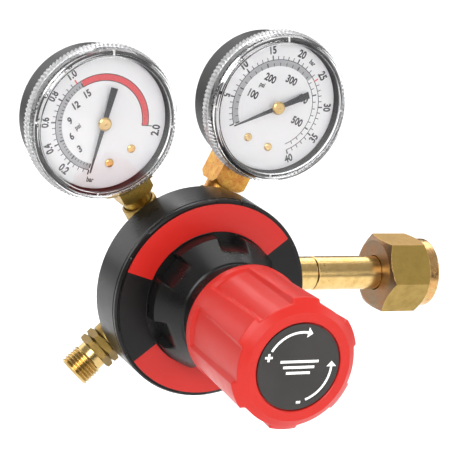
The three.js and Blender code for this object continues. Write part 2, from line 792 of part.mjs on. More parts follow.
function addGauge(prefix, angle) {
  const gauge = new THREE.Group();
  const a = radians(angle);
  gauge.position.set(GAUGE_DISTANCE * Math.cos(a), GAUGE_RIM_Y, GAUGE_DISTANCE * Math.sin(a));
  gauge.rotation.y = Math.PI / 2 - a;
  regulator.add(gauge);
  const put = (name, geometry, look) => add(gauge, `${prefix}_${name}`, geometry, look);
  put("case", caseGeometry(), blackPaint());
  const clear = material(0xe8ecee, 0.08, 0);
  clear.transparent = true;
  clear.opacity = 0.35;
  put("lens", lensGeometry(), clear);
  put("dial", dialGeometry(), material(0xf2f2f0, 0.5, 0));
  for (const [side, place] of Object.entries(DIAL_SCREWS)) {
    put(`dial_screw_${side}`, dialScrewGeometry(place), brass());
  }
  put("pointer", pointerGeometry(), blackPaint());
  put("pointer_hub", pointerHubGeometry(), brass());
  put("socket", socketGeometry(), brass());
  put("bourdon_tube", bourdonGeometry(), brass());
  put("tip_link", linkGeometry(), brass());
  put("sector_gear", sectorGeometry(), brass());
  put("arbor", arborGeometry(), brass());
  put("movement_front", frontPlateGeometry(), brass());
  put("movement_back", backPlateGeometry(), brass());
}

add(regulator, "body", bodyGeometry(), brass());
addKnobSide();
addValve();
addConnections();
addGauge("low", LOW_GAUGE_ANGLE);
addGauge("high", HIGH_GAUGE_ANGLE);

export default part;
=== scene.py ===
"""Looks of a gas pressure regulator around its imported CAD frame.

Shapes are made in millimetres in a local frame and placed by a matrix that comes from the CAD boxes. Local
X points out along a port or to the right of a dial, Y to the back and Z up.
"""
import math

import bmesh
import bpy
import numpy as np
from mathutils import Matrix, Vector


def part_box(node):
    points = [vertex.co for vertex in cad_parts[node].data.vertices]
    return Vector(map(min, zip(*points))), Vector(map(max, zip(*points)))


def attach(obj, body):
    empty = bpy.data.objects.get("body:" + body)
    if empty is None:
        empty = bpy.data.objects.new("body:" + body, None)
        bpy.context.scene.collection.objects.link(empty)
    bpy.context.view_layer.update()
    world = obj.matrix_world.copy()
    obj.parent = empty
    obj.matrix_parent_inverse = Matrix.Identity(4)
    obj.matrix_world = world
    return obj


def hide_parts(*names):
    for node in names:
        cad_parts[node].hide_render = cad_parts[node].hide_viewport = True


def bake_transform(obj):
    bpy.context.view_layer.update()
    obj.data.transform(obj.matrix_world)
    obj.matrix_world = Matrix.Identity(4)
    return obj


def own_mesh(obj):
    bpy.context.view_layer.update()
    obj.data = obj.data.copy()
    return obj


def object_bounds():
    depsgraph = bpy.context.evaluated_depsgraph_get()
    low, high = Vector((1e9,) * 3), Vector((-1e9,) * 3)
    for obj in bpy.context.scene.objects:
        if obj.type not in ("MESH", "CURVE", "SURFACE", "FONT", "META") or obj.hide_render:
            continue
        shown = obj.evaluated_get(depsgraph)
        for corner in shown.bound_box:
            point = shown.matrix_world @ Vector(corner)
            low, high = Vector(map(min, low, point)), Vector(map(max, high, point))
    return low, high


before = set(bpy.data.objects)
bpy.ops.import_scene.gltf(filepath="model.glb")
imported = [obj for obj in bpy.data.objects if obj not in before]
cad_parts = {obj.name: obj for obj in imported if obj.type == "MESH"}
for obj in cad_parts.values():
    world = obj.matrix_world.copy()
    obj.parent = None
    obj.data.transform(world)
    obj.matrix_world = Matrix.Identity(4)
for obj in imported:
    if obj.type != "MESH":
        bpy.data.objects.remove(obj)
cad_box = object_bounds()

MM = 0.001
ROUND = 144  # segments round a large turned piece
SMALL = 64  # and round a small one

# ---- places, from the CAD boxes ----


def middle(node):
    low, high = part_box(node)
    return (low + high) / 2


def placed(origin, angle=0.0):
    """Local X points out at an angle in the XZ plane, from +X towards +Z, and Y to the back."""
    c, s = math.cos(math.radians(angle)), math.sin(math.radians(angle))
    x, y, z = origin
    return Matrix(((c, 0, -s, x), (0, 1, 0, y), (s, 0, c, z), (0, 0, 0, 1)))


AXIS = middle("bonnet")
LABEL_FACE_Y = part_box("front_label")[0].y
FRONT = placed((AXIS.x, LABEL_FACE_Y, AXIS.z))  # knob axis, at the front of the label


def port(node_y, angle):
    return placed((AXIS.x, node_y, AXIS.z), angle)


INLET = port(middle("inlet_nut").y, 0)
OUTLET_ANGLE = -134.4
OUTLET_Y = 36.5  # behind the label's front
OUTLET = port(LABEL_FACE_Y + OUTLET_Y * MM, OUTLET_ANGLE)


def gauge_angle(prefix):
    centre = middle(prefix + "_lens")
    return math.degrees(math.atan2(centre.z - AXIS.z, centre.x - AXIS.x))


def gauge_place(prefix):
    """Local Z is the top of the dial, and Y is counted from the case's front edge."""
    centre = middle(prefix + "_lens")
    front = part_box(prefix + "_case")[0].y
    return placed((centre.x, front, centre.z), gauge_angle(prefix) - 90)


# ---- meshes ----


def rounded(points, steps=5):
    """A profile whose corners (a, b, radius) become curves; a corner without a radius stays sharp."""
    flat = []
    for i, corner in enumerate(points):
        here = Vector(corner[:2])
        radius = corner[2] if len(corner) > 2 else 0
        if not radius or i in (0, len(points) - 1):
            flat.append(tuple(here))
            continue
        back = Vector(points[i - 1][:2]) - here
        ahead = Vector(points[i + 1][:2]) - here
        half = back.angle(ahead) / 2
        reach = min(radius / math.tan(half), 0.48 * back.length, 0.48 * ahead.length)
        start, end = here + back.normalized() * reach, here + ahead.normalized() * reach
        for k in range(steps + 1):
            t = k / steps
            flat.append(tuple((1 - t) ** 2 * start + 2 * t * (1 - t) * here + t * t * end))
    return flat


def add_object(name, data):
    made = bpy.data.objects.new(name, data)
    bpy.context.scene.collection.objects.link(made)
    return made


def mesh_object(name, verts, faces, place, merge=True):
    mesh = bpy.data.meshes.new(name)
    mesh.from_pydata([tuple(v) for v in np.asarray(verts, float) * MM], [], faces)
    if merge:
        work = bmesh.new()
        work.from_mesh(mesh)
        bmesh.ops.remove_doubles(work, verts=work.verts, dist=2e-6)
        bmesh.ops.dissolve_degenerate(work, edges=work.edges, dist=1e-7)
        bmesh.ops.recalc_face_normals(work, faces=work.faces)
        work.to_mesh(mesh)
        work.free()
    piece = add_object(name, mesh)
    piece.matrix_world = place
    return piece


def grid_faces(rows, cols, wrap_rows=False):
    """Quads between rows of points; each row is a closed loop."""
    faces = []
    for i in range(rows if wrap_rows else rows - 1):
        a, b = i * cols, ((i + 1) % rows) * cols
        faces += [(a + j, a + (j + 1) % cols, b + (j + 1) % cols, b + j) for j in range(cols)]
    return faces


def closed_grid(name, grid, place):
    """A body from rows of points; rows wrap unless the first and last one lie on the axis."""
    spread = [np.ptp(grid[i], axis=0).max() for i in (0, -1)]
    wraps = max(spread) > 1e-6
    return mesh_object(name, grid.reshape(-1, 3), grid_faces(*grid.shape[:2], wraps), place)


def turned(name, profile, place, along="y", segments=ROUND):
    """A turned body from (radius, distance along the axis) points."""
    angles = np.linspace(0, 2 * np.pi, segments, endpoint=False)
    r, d = np.array(profile).T
    u, v = np.outer(r, np.cos(angles)), np.outer(r, np.sin(angles))
    w = np.repeat(d[:, None], segments, 1)
    grid = np.stack((u, w, v) if along == "y" else (w, u, v), -1)
    return closed_grid(name, grid, place)


def prism(name, outline, start, end, place, along="y"):
    """A straight prism along Y from an outline of (x, z) points, or along X from one of (y, z) points."""
    n = len(outline)
    verts = [(u, w, v) if along == "y" else (w, u, v) for w in (start, end) for u, v in outline]
    faces = [tuple(range(n)), tuple(range(2 * n - 1, n - 1, -1))]
    faces += [(i, (i + 1) % n, n + (i + 1) % n, n + i) for i in range(n)]
    return mesh_object(name, verts, faces, place)


def rectangle(x0, x1, z0, z1):
    return [(x0, z0), (x1, z0), (x1, z1), (x0, z1)]


def hexagon_points(corner):
    """A hexagon with a corner on its first axis, corner mm from its centre."""
    angles = np.linspace(0, 2 * np.pi, 6, endpoint=False)
    return [(corner * math.cos(a), corner * math.sin(a)) for a in angles]


def settle(piece):
    """Applies the piece's modifiers to its mesh."""
    bpy.context.view_layer.update()
    evaluated = piece.evaluated_get(bpy.context.evaluated_depsgraph_get())
    old = piece.data
    made = bpy.data.meshes.new_from_object(evaluated)
    piece.modifiers.clear()
    piece.data = made
    made.name = piece.name
    bpy.data.meshes.remove(old)


def combine(base, operation, *others):
    """Joins, cuts or intersects a piece with others, which are used up."""
    for other in others:
        step = base.modifiers.new("step", "BOOLEAN")
        step.operation = operation
        step.solver = "EXACT"
        step.object = other
        settle(base)
        bpy.data.objects.remove(other)


def smooth(piece, angle=32):
    """Smooth shading, sharp at edges over angle degrees."""
    piece.data.shade_smooth()
    piece.data.set_sharp_from_angle(angle=math.radians(angle))
    return piece


def bevel(piece, width, segments=3, angle=30, worn_and_highlight=-1):
    """Rounds sharp edges; the last argument is the rounded strips' material slot, or -1 for the flats' own.
    A brighter brass there is partly worn edges and partly a painted highlight.
    """
    edge = piece.modifiers.new("edge", "BEVEL")
    edge.width = width * MM
    edge.segments = segments
    edge.limit_method = "ANGLE"
    edge.angle_limit = math.radians(angle)
    edge.use_clamp_overlap = True
    edge.miter_outer = "MITER_ARC"
    edge.harden_normals = False
    edge.material = worn_and_highlight


def weigh(piece):
    """Keeps large faces flat beside their rounded edges."""
    normals = piece.modifiers.new("normals", "WEIGHTED_NORMAL")
    normals.keep_sharp = True
    normals.weight = 60


def finish_piece(piece, body, looks, replaces=(), chooser=None):
    """chooser(centre in mm, normal), in the piece's local frame, names the look of a face."""
    if not isinstance(looks, (list, tuple)):
        looks = [looks]
    piece.data.materials.clear()
    for look in looks:
        piece.data.materials.append(look)
    if chooser:
        for face in piece.data.polygons:
            face.material_index = chooser(face.center / MM, face.normal)
    # The mesh takes the turn, so that the piece's own box is a tight one.
    place = piece.matrix_world.copy()
    piece.data.transform(place.to_3x3().to_4x4())
    piece.matrix_world = Matrix.Translation(place.translation)
    if body:  # a piece given no body rides on none
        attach(piece, body)
    if replaces:
        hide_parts(*replaces)


# ---- procedural looks ----


class Look:
    """A Principled material whose detail is made of noise in the piece's own millimetres."""

    def __init__(self, name, turn=0.0, **sockets):
        self.material = bpy.data.materials.new(name)
        self.material.use_nodes = True
        self.tree = self.material.node_tree
        self.shader = self.tree.nodes["Principled BSDF"]
        self.place = self.tree.nodes.new("ShaderNodeTexCoord").outputs["Object"]
        if turn:  # a port's direction, so that its tool marks follow its own axis
            turned_place = {"Vector": self.place, "Rotation": (0, math.radians(turn), 0)}
            self.place = self.node("ShaderNodeMapping", turned_place).outputs[0]
        for socket, value in sockets.items():
            self.set(socket.replace("_", " "), value)

    def set(self, socket, value):
        target = self.shader.inputs[socket]
        if isinstance(value, bpy.types.NodeSocket):
            self.tree.links.new(value, target)
        else:
            target.default_value = (*value, 1) if isinstance(value, tuple) else value

    def node(self, kind, inputs, **settings):
        made = self.tree.nodes.new(kind)
        for key, value in settings.items():
            setattr(made, key, value)
        for key, value in inputs.items():
            if isinstance(value, bpy.types.NodeSocket):
                self.tree.links.new(value, made.inputs[key])
            else:
                made.inputs[key].default_value = value
        return made

    def noise(self, size, stretch=(1, 1, 1), detail=3.0, rough=0.55, offset=0.0):
        """Noise whose lumps are about size mm, drawn out by stretch."""
        scale = [1 / (MM * size * s) for s in stretch]
        placing = {"Vector": self.place, "Scale": scale, "Location": [offset] * 3}
        mapped = self.node("ShaderNodeMapping", placing)
        inputs = {"Vector": mapped.outputs[0], "Scale": 1.0, "Detail": detail, "Roughness": rough}
        return self.node("ShaderNodeTexNoise", inputs).outputs[0]

    def ramp(self, value, *stops):
        """stops are (position, number or colour)."""
        made = self.node("ShaderNodeValToRGB", {"Fac": value})
        band = made.color_ramp
        while len(band.elements) < len(stops):
            band.elements.new(0.5)
        for element, (at, colour) in zip(band.elements, stops):
            element.position = at
            element.color = (*colour, 1) if isinstance(colour, tuple) else (colour,) * 3 + (1,)
        return made.outputs[0]

    def mix(self, factor, a, b):
        made = self.node("ShaderNodeMix", {}, data_type="RGBA")  # its sockets share names, so by number
        for index, value in ((0, factor), (6, a), (7, b)):
            if isinstance(value, bpy.types.NodeSocket):
                self.tree.links.new(value, made.inputs[index])
            else:
                made.inputs[index].default_value = (*value, 1) if isinstance(value, tuple) else value
        return made.outputs[2]

    def bump(self, height, depth):
        """height is 0 to 1, and stands for depth mm."""
        made = self.node("ShaderNodeBump", {"Height": height, "Strength": 1.0, "Distance": depth * MM})
        self.set("Normal", made.outputs[0])


ORANGE_PEEL = 0.006  # mm


def paint_look(name, colour, rough, gloss):
    """Baked enamel: orange peel, a few dull patches."""
    look = Look(name, Specular_IOR_Level=gloss)
    patches = look.noise(9)
    look.set("Base Color", look.ramp(patches, (0.3, colour), (0.75, tuple(1.5 * c for c in colour))))
    fine = look.noise(1.1, detail=2)
    look.set("Roughness", look.ramp(patches, (0.25, rough), (0.8, rough + 0.09)))
    look.bump(fine, ORANGE_PEEL)
    return look.material


def plastic_look(name, colour, rough, deep=0.8, grain=0.012, gloss=0.5):
    """Moulded plastic: flow marks down to deep times the colour, and a fine grain, grain mm deep."""
    look = Look(name, Specular_IOR_Level=gloss)
    flow = look.noise(14, stretch=(1, 2.5, 1))
    look.set("Base Color", look.ramp(flow, (0.3, tuple(deep * c for c in colour)), (0.7, colour)))
    look.set("Roughness", look.ramp(look.noise(5), (0.3, rough), (0.75, rough + 0.08)))
    look.bump(look.noise(0.7, detail=2), grain)
    return look.material


ALONG_X, ROUND_X = (40, 1, 1), (0.6, 40, 40)  # drawn and turned tool marks of a port's fitting
SPOT_BROWN = (0.20, 0.075, 0.03)


def brass_look(name, light, dark, rough, lines=(1, 1, 1), line_depth=0.006, spots=True, turn=0.0):
    """Brass with tool marks drawn along one direction, tarnish patches and small dark spots."""
    look = Look(name, turn, Metallic=1.0)
    cloud = look.noise(7, detail=5, rough=0.65)
    streak = look.noise(0.35, stretch=lines, detail=2)
    tone = look.mix(look.ramp(cloud, (0.36, 0.0), (0.68, 1.0)), light, dark)
    tone = look.mix(look.ramp(streak, (0.45, 0.0), (0.8, 0.35)), tone, dark)
    if spots:
        pits = look.ramp(look.noise(1.5, detail=4, offset=7.0), (0.67, 0.0), (0.73, 0.8))
        tone = look.mix(pits, tone, SPOT_BROWN)
    look.set("Base Color", tone)
    look.set("Roughness", look.ramp(cloud, (0.3, rough), (0.75, rough + 0.16)))
    look.bump(streak, line_depth)
    return look.material


def mottled_look(name, base, hot, dark, rough, speck=0.9):
    """Raw brass stained by heat and flux."""
    look = Look(name, Metallic=1.0)
    wide, fine = look.noise(5.5, detail=5, rough=0.7), look.noise(speck, detail=4, rough=0.6, offset=3.0)
    tone = look.mix(look.ramp(wide, (0.38, 0.0), (0.62, 1.0)), base, hot)
    tone = look.mix(look.ramp(fine, (0.55, 0.0), (0.72, 0.75)), tone, dark)
    look.set("Base Color", tone)
    look.set("Roughness", look.ramp(fine, (0.3, rough), (0.8, rough + 0.25)))
    look.bump(fine, 0.05)
    return look.material


def ink_look(name, colour):
    """Screen print, a little uneven."""
    look = Look(name, Roughness=0.55)
    thin = tuple(1.25 * c + 0.01 for c in colour)
    look.set("Base Color", look.ramp(look.noise(0.5), (0.3, colour), (0.8, thin)))
    return look.material


def clear_look(name, rough, peel, clear=1.0, white=0.98):
    """Clear moulded plastic with a faint waviness."""
    look = Look(name, IOR=1.49, Transmission_Weight=clear)
    tones = [(white - drop,) * 2 + (white,) for drop in (0.012, 0.004)]
    look.set("Base Color", look.ramp(look.noise(12), (0.3, tones[0]), (0.7, tones[1])))
    look.set("Roughness", look.ramp(look.noise(3), (0.3, rough), (0.8, rough + 0.02)))
    look.bump(look.noise(4, detail=1), peel)
    return look.material


BLACK = paint_look("black_enamel", (0.0055, 0.0052, 0.005), 0.25, 0.24)
CASE_BLACK = paint_look("case_enamel", (0.009, 0.0085, 0.0085), 0.36, 0.2)
RED = plastic_look("knob_red", (0.51, 0.022, 0.016), 0.30, deep=0.97, grain=0.003, gloss=0.2)
INSERT = plastic_look("insert_charcoal", (0.036, 0.033, 0.031), 0.45, grain=0.03, gloss=0.25)
LABEL_RED = plastic_look("label_red", (0.50, 0.0150, 0.0100), 0.30, deep=0.96, grain=0.004, gloss=0.3)
LABEL_BLACK = plastic_look("label_black", (0.007, 0.0065, 0.0065), 0.32, grain=0.004, gloss=0.2)
INK_WHITE = ink_look("ink_white", (0.86, 0.86, 0.84))
INK_BLACK = ink_look("ink_black", (0.014, 0.014, 0.016))
INK_GREY = ink_look("ink_grey", (0.42, 0.42, 0.43))
INK_RED = ink_look("ink_red", (0.78, 0.10, 0.11))
POINTER_BLACK = ink_look("pointer_black", (0.035, 0.035, 0.038))
DIAL_WHITE = plastic_look("dial_enamel", (0.985, 0.985, 0.985), 0.5, deep=0.99, grain=0.003, gloss=0.3)
WINDOW = clear_look("lens_window", 0.0, 0.002, white=1.0)
RIM = clear_look("lens_rim", 0.01, 0.01)
SKIRT = clear_look("lens_skirt", 0.12, 0.02, clear=0.6, white=0.60)

STEM = brass_look("brass_stem", (0.74, 0.52, 0.22), (0.52, 0.34, 0.12), 0.15, ROUND_X, 0.002)
THREAD = brass_look(
    "brass_thread", (0.58, 0.42, 0.18), (0.40, 0.27, 0.09), 0.17, ROUND_X, 0.003, turn=OUTLET_ANGLE
)
THREAD_HEX = brass_look(
    "brass_thread_hex", (0.20, 0.130, 0.040), (0.13, 0.085, 0.022), 0.3, ALONG_X, 0.02, turn=OUTLET_ANGLE
)
DRAWN = brass_look("brass_drawn", (0.36, 0.24, 0.066), (0.25, 0.17, 0.042), 0.36, ALONG_X, 0.02, spots=False)
# the nut's top flat: a lighter, warmer copy of the drawn brass, painted light from above
DRAWN_LIT_TOP = brass_look("brass_drawn_painted_top_light", (0.56, 0.345, 0.11), (0.42, 0.26, 0.08), 0.33, ALONG_X, 0.02)
FACED = mottled_look("brass_faced", (0.20, 0.14, 0.085), (0.25, 0.125, 0.055), (0.11, 0.07, 0.045), 0.28)
COLLAR = mottled_look(
    "brass_collar", (0.52, 0.36, 0.15), (0.56, 0.31, 0.12), (0.28, 0.14, 0.055), 0.14, speck=2.2
)
CAST = brass_look("brass_cast", (0.38, 0.26, 0.085), (0.25, 0.16, 0.045), 0.36, line_depth=0.05)
SOCKET_OLIVE = mottled_look(
    "brass_socket_olive", (0.33, 0.23, 0.055), (0.42, 0.25, 0.05), (0.11, 0.065, 0.018), 0.30
)
SOCKET_COPPER = mottled_look(
    "brass_socket_copper", (0.58, 0.33, 0.07), (0.46, 0.18, 0.045), (0.18, 0.055, 0.018), 0.28
)
SMALL_BRASS = brass_look("brass_small", (0.80, 0.56, 0.23), (0.60, 0.40, 0.15), 0.24, spots=False)
STEEL = brass_look("steel", (0.60, 0.60, 0.61), (0.42, 0.42, 0.43), 0.28, spots=False)
RUBBER = plastic_look("rubber", (0.02, 0.019, 0.018), 0.6, grain=0.05)
BRONZE = mottled_look("sintered_bronze", (0.42, 0.29, 0.16), (0.34, 0.22, 0.11), (0.12, 0.08, 0.05), 0.55)

# ---- scalloped surfaces of the bonnet and the knob ----


def ease(value, low, high):
    t = np.clip((value - low) / (high - low), 0, 1)
    return t * t * (3 - 2 * t)


def soft_min(a, b, reach):
    """The smaller of two, with a fillet of about reach where they meet."""
    h = np.clip(0.5 + 0.5 * (b - a) / reach, 0, 1)
    return b * (1 - h) + a * h - reach * h * (1 - h)


LAND_STEPS = 6  # from a pocket's edge to the middle of the land beside it


def scalloped(name, profile, place, count, first, lateral, distance):
    """A turned body whose side has count pockets; the first one's middle is first degrees round from +X.

    lateral(y) lists the offsets across a pocket, from its middle out, and distance(outer, offset, y)
    is how far the surface lies from the axis plane there. The rest of a sector follows the profile.
    """
    half_sector = math.pi / count
    rows = []
    for r, y in profile:
        offsets = np.array(lateral(y))
        outer = np.sqrt(np.maximum(r * r - offsets**2, 0))
        if (offsets < 0.9 * r * math.sin(half_sector)).all():
            depth = distance(outer, offsets, y)
            radius, angle = np.hypot(depth, offsets), np.arctan2(offsets, depth)
        else:
            radius = np.full(len(offsets), r)
            angle = np.linspace(0, 0.72 * half_sector, len(offsets))
        land = np.linspace(angle[-1], half_sector, LAND_STEPS + 1)[1:]
        radius = np.concatenate((radius, np.full(LAND_STEPS, r)))
        angle = np.concatenate((angle, land))
        sector_r = np.concatenate((radius[::-1], radius[1:-1]))
        sector_a = np.concatenate((-angle[::-1], angle[1:-1]))
        turns = [math.radians(first + 360 / count * k) + sector_a for k in range(count)]
        a, rr = np.concatenate(turns), np.tile(sector_r, count)
        rows.append(np.stack((rr * np.cos(a), np.full(len(a), y), rr * np.sin(a)), -1))
    return closed_grid(name, np.array(rows), place)


def resample(profile, step, low, high):
    """Adds points to a profile, so that no step is longer than step where y is between low and high."""
    out = [profile[0]]
    for a, b in zip(profile, profile[1:]):
        length = math.dist(a, b)
        inside = min(a[1], b[1]) < high and max(a[1], b[1]) > low
        n = max(1, math.ceil(length / step)) if inside else 1
        out += [(a[0] + (b[0] - a[0]) * k / n, a[1] + (b[1] - a[1]) * k / n) for k in range(1, n + 1)]
    return out


POCKETS, POCKET_ANGLE, POCKET_FLOOR = 6, 86.3, 26.4  # wrench pockets in the dome's side
POCKET_TOP_Y, POCKET_END_Y = -19.4, 0.55


def make_bonnet():
    profile = rounded(
        [
            (7.3, -38), (18.8, -38, 0.1), (19.8, -37, 0.6), (19.8, -27, 0.6), (22.5, -26, 0.6),
            (22.5, -20.2, 0.8), (23.4, -19.5, 0.9), (29.3, -8.4, 1.3), (30.2, -6.6, 1.0), (30.2, 0.6, 0.5),
            (43.6, 0.6, 0.2), (44.2, 0.35, 0.3), (45, 1.2, 0.7), (45, 2.6, 0.1), (44.65, 2.9, 0.1),
            (44.65, 3.3, 0.1), (45, 3.6, 0.1), (45, 22, 0.5), (44.2, 22.8, 0.5), (42.2, 22.8), (42.2, 11.5),
            (35, 11.5), (33, 5), (17.5, 5), (17.5, -24), (7.3, -24),
        ]
    )
    profile = resample(profile, 0.8, -19.6, 0.6)

    def half_width(y):
        return 5.7 + 1.5 * min(max(-y / 19, 0), 1)

    def lateral(y):
        w = half_width(y)
        return [0, 0.35 * w, 0.65 * w, *np.linspace(w - 1.0, w + 0.75, 8), w + 1.4]

    def distance(outer, offset, y):
        w = half_width(y)
        if y > POCKET_END_Y or y < POCKET_TOP_Y:
            return outer
        floor = soft_min(outer, np.full_like(outer, POCKET_FLOOR), 1.1)
        share = ease(offset, w - 0.9, w + 0.6)
        return floor * (1 - share) + outer * share

    piece = scalloped("bonnet_shell", profile, FRONT, POCKETS, POCKET_ANGLE, lateral, distance)
    weigh(smooth(piece, 40))
    finish_piece(piece, "regulator", BLACK, ["bonnet"])


RED_SECTORS = ((39.7, 162.6), (-140.4, -17.4))


def make_label():
    """A printed ring with two red sectors; the words of the real one are left out."""
    angles = sorted({*np.arange(-180.0, 180.0, 2.0), *[a for pair in RED_SECTORS for a in pair]})
    rad = np.radians(angles)
    profile = rounded([(30.9, 0.45), (30.9, 0.0, 0.12), (43.15, 0.0, 0.12), (43.15, 0.45)])
    grid = np.array([[(r * math.cos(a), y, r * math.sin(a)) for a in rad] for r, y in profile])
    piece = closed_grid("label_ring", grid, FRONT)

    def chooser(centre, normal):
        angle = math.degrees(math.atan2(centre.z, centre.x))
        return 1 if any(a < angle < b for a, b in RED_SECTORS) else 0

    smooth(piece, 40)
    finish_piece(piece, "regulator", [LABEL_BLACK, LABEL_RED], ["front_label"], chooser)


PANELS, PANEL_ANGLE = 6, POCKET_ANGLE + 31.4  # grip panels of the knob
PANEL_BACK, PANEL_FRONT = -35.6, -80.7  # a panel runs out in the shoulder
PANEL_FLOOR, PANEL_RISE = 25.2, 1.0  # the floor's radius at the back, and its rise to the front
SKIRT_Y, GRIP_INSIDE = -31.8, 24  # a panel changes nothing behind the one or within the other


def make_knob():
    outer = [
        (23.4, -31, 0.3), (25.8, -31, 0.5), (26.5, -32, 0.8), (28.2, -78.9, 0.6), (26.1, PANEL_FRONT),
        (23.0, -82.95, 0.35), (19.3, -83, 0.3), (18.9, -82.6, 0.2), (18.9, -81.2),
    ]
    inner = [
        (5.5, -81.2), (5.5, -78.5), (3, -78.5), (3, -72), (7.3, -72), (7.3, -50), (10.5, -50), (10.5, -74),
        (20.6, -74), (20.6, -36.5), (23.3, -35.5),
    ]
    profile = resample(rounded(inner + outer), 0.5, -82.5, -31)

    def widths(y):
        """Half widths of a panel at its floor and at its brim."""
        share = min(max((-y - 36) / 43, 0), 1)
        return 7.6 - 0.8 * share, 9.1 - 0.6 * share

    def lateral(y):
        floor, brim = widths(y)
        inside = [floor * k / 5 for k in range(5)] + [floor + d for d in (-0.6, -0.3, -0.1, 0.1, 0.35)]
        return inside + [(floor + brim) / 2 + 0.2] + [brim + d for d in (-0.3, -0.1, 0.1, 0.3, 0.7)]

    def distance(outer, offset, y):
        if y > SKIRT_Y or outer[0] < GRIP_INSIDE:
            return outer
        floor, brim = widths(y)
        depth_r = PANEL_FLOOR + PANEL_RISE * (PANEL_BACK - y) / (PANEL_BACK - PANEL_FRONT)
        sunk = np.sqrt(depth_r**2 - offset**2)
        wall = sunk + (offset - floor) / (brim - floor) * (outer[0] - depth_r)
        sunk = -soft_min(-sunk, -wall, 0.5) if outer[0] > depth_r else sunk
        sunk = soft_min(outer, sunk, 0.3)
        out = float(ease(y, -37.0, PANEL_BACK))
        return sunk * (1 - out) + outer * out

    piece = scalloped("knob_grip", profile, FRONT, PANELS, PANEL_ANGLE, lateral, distance)
    weigh(smooth(piece, 30))
    finish_piece(piece, "knob_assembly", RED, ["knob"])


# ---- flat print ----


def print_layer(name, polygons, depth, place, body, look):
    """One thin printed layer from polygons of (x, z) points, facing the front."""
    verts, faces = [], []
    for polygon in polygons:
        area = sum(a[0] * b[1] - b[0] * a[1] for a, b in zip(polygon, polygon[1:] + polygon[:1]))
        ordered = polygon if area > 0 else polygon[::-1]
        faces.append(tuple(range(len(verts), len(verts) + len(ordered))))
        verts += [(x, depth, z) for x, z in ordered]
    finish_piece(mesh_object(name, verts, faces, place, merge=False), body, look)


def polar(radius, angle):
    """A dial point: angle in degrees clockwise from the dial's top."""
    a = math.radians(angle)
    return (radius * math.sin(a), radius * math.cos(a))


def tick(angle, r0, r1, width):
    """A radial line as a quad."""
    (x0, z0), (x1, z1) = polar(r0, angle), polar(r1, angle)
    x, z = polar(width / 2, angle + 90)
    return [(x0 - x, z0 - z), (x0 + x, z0 + z), (x1 + x, z1 + z), (x1 - x, z1 - z)]


def band(a0, a1, r0, r1, step=3.0):
    """Quads of a ring sector."""
    n = max(1, math.ceil(abs(a1 - a0) / step))
    angles = [a0 + (a1 - a0) * k / n for k in range(n + 1)]
    return [[polar(r0, a), polar(r0, b), polar(r1, b), polar(r1, a)] for a, b in zip(angles, angles[1:])]


def lettering(text, size, centre, turn=0.0, narrow=0.8):
    """Triangles of generic figures, centred on a point and turned clockwise by turn degrees."""
    curve = bpy.data.curves.new("figures", "FONT")
    curve.body = text
    curve.align_x, curve.align_y = "CENTER", "CENTER"
    curve.size = size
    curve.offset = 0.036 * size
    curve.resolution_u = 3
    holder = add_object("figures", curve)
    bpy.context.view_layer.update()
    mesh = bpy.data.meshes.new_from_object(holder.evaluated_get(bpy.context.evaluated_depsgraph_get()))
    c, s = math.cos(math.radians(turn)), math.sin(math.radians(turn))
    points = []
    for v in mesh.vertices:
        x, z = v.co.x * narrow, v.co.y
        points.append((centre[0] + x * c + z * s, centre[1] - x * s + z * c))
    shapes = [[points[i] for i in face.vertices] for face in mesh.polygons]
    bpy.data.objects.remove(holder)
    bpy.data.curves.remove(curve)
    bpy.data.meshes.remove(mesh)
    return shapes


def around(text, size, radius, angle):
    """A figure outside the scale, turned with it and never upside down."""
    turn = angle if abs(angle) <= 90 else angle - math.copysign(180, angle)
    return lettering(text, size, polar(radius, angle), turn)


# ---- knob insert ----


ARROW_R, ARROW_HALF, HEAD_HALF = 14.8, 0.5, 2.2


def make_insert():
    profile = rounded(
        [
            (0, -81.6), (17.9, -81.6), (18.3, -82.0, 0.2), (18.3, -82.6, 0.25), (17.6, -82.75, 0.3),
            (0, -82.75),
        ]
    )
    piece = turned("knob_badge", profile, FRONT, segments=96)
    weigh(smooth(piece))
    finish_piece(piece, "knob_assembly", INSERT, ["knob_insert"])
    shapes = []
    for start, end, sign, at in ((-62, 8, "+", -74), (160, 90, "-", 172)):
        step = math.copysign(3, end - start)
        shapes += band(start, end, ARROW_R - ARROW_HALF, ARROW_R + ARROW_HALF)
        tip = polar(ARROW_R, end + 3 * step)
        shapes.append([polar(ARROW_R - HEAD_HALF, end), tip, polar(ARROW_R + HEAD_HALF, end)])
        shapes += lettering(sign, 6.2, polar(14.6, at), 0, 1.0)
    for k in range(3):  # plain bars in the middle
        half, z = 8.6 - 1.6 * k, 2.4 - 2.4 * k
        shapes.append(rectangle(-half, half, z - 0.55, z + 0.55))
    print_layer("knob_badge_print", shapes, -82.78, FRONT, "knob_assembly", INK_WHITE)


# ---- gauges ----

DIAL_DEPTH = 3.5
RIBS, RIB_DEPTH, RIB_FOOT = 112, 0.55, 33.5  # round the lens's skirt


